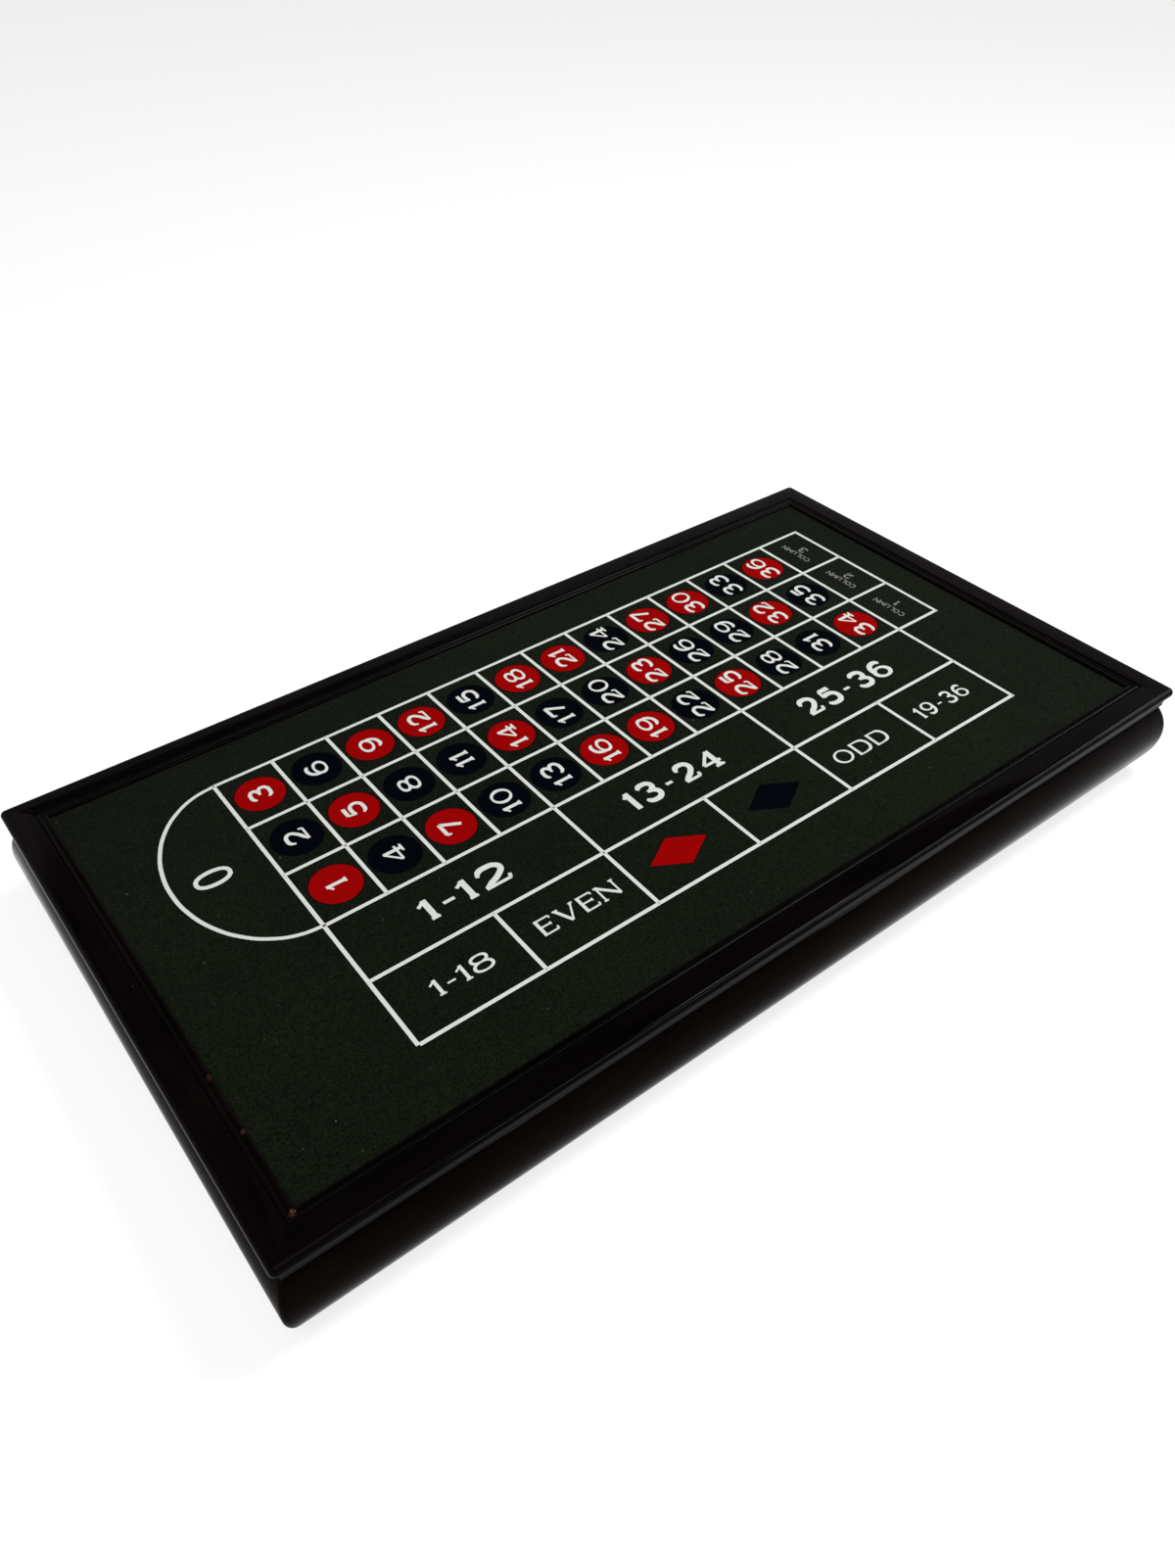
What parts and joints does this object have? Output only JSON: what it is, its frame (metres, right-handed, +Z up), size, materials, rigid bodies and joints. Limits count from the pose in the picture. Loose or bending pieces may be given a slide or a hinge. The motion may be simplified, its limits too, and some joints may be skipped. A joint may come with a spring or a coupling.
{
  "type": "roulette set case",
  "caption": "Shallow bulging lacquered case with a hinged felt-topped lid printed as a roulette layout, fitted inside with a turning wheel, chips, rake and balls.",
  "frame": {"origin": "on the ground, under the middle of the felt layout and of the case", "axes": "+X along the long sides from the zero end to the column end, +Y from the player's side to the hinge side, +Z up"},
  "size_m": [0.5524, 0.3054, 0.0582],
  "materials": {
    "frame_lacquer": "gloss black-brown lacquer",
    "case_lacquer": "gloss red-brown lacquer",
    "inner_wood": "satin varnished",
    "plywood": "raw plywood",
    "layout_felt": "napped dark green felt with a printed layout",
    "lining_felt": "plain dark green felt",
    "brass": "polished",
    "steel": "plain",
    "wheel_wood": "gloss varnished",
    "number_ring": "black and red with white numbers",
    "rake_wood": "satin varnished",
    "ball_white": "ivory white",
    "chip_red": "satin moulded",
    "chip_white": "satin moulded",
    "chip_blue": "satin moulded",
    "chip_yellow": "satin moulded",
    "chip_green": "satin moulded",
    "chip_black": "satin moulded"
  },
  "bodies": {
    "case": {"case_rail_front": "case_lacquer", "case_rail_back": "case_lacquer", "case_rail_left": "case_lacquer", "case_rail_right": "case_lacquer", "case_corner_tongues": "inner_wood", "base_panel": "plywood", "foot_pads": "lining_felt", "floor_felt": "lining_felt", "hinge_leaves_case": "brass", "bay_partition": "inner_wood", "rack_partition": "inner_wood", "tray_partition": "inner_wood", "wheel_bowl": "wheel_wood", "ball_deflectors": "brass", "spindle": "steel", "chip_rack": "inner_wood", "chips_red": "chip_red", "chips_white": "chip_white", "chips_blue": "chip_blue", "chips_yellow": "chip_yellow", "chips_green": "chip_green", "chips_black": "chip_black", "rake_handle": "rake_wood", "rake_head": "rake_wood", "ball_rail": "inner_wood", "balls": "ball_white"},
    "lid": {"lid_frame_front": "frame_lacquer", "lid_frame_back": "frame_lacquer", "lid_frame_left": "frame_lacquer", "lid_frame_right": "frame_lacquer", "lid_corner_tongues": "inner_wood", "lid_panel": "plywood", "layout_felt": "layout_felt", "lid_lining": "lining_felt", "lid_batten_front": "inner_wood", "lid_batten_back": "inner_wood", "lid_batten_left": "inner_wood", "lid_batten_right": "inner_wood", "hinge_leaves_lid": "brass"},
    "wheelhead": {"rotor_cone": "wheel_wood", "number_ring": "number_ring", "pocket_frets": "brass", "turret_hub": "brass", "turret_arms": "brass", "arm_knobs": "brass", "turret_finial": "brass"}
  },
  "joints": [
    {"name": "lid_hinge", "type": "hinge", "parent": "case", "child": "lid", "pos_m": [0, 0.1504, 0.0464], "axis": [-1, 0, 0], "range_deg": [0, 95]},
    {"name": "wheel_spin", "type": "hinge", "parent": "case", "child": "wheelhead", "pos_m": [-0.1275, 0, 0.03], "axis": [0, 0, 1], "continuous": true}
  ]
}
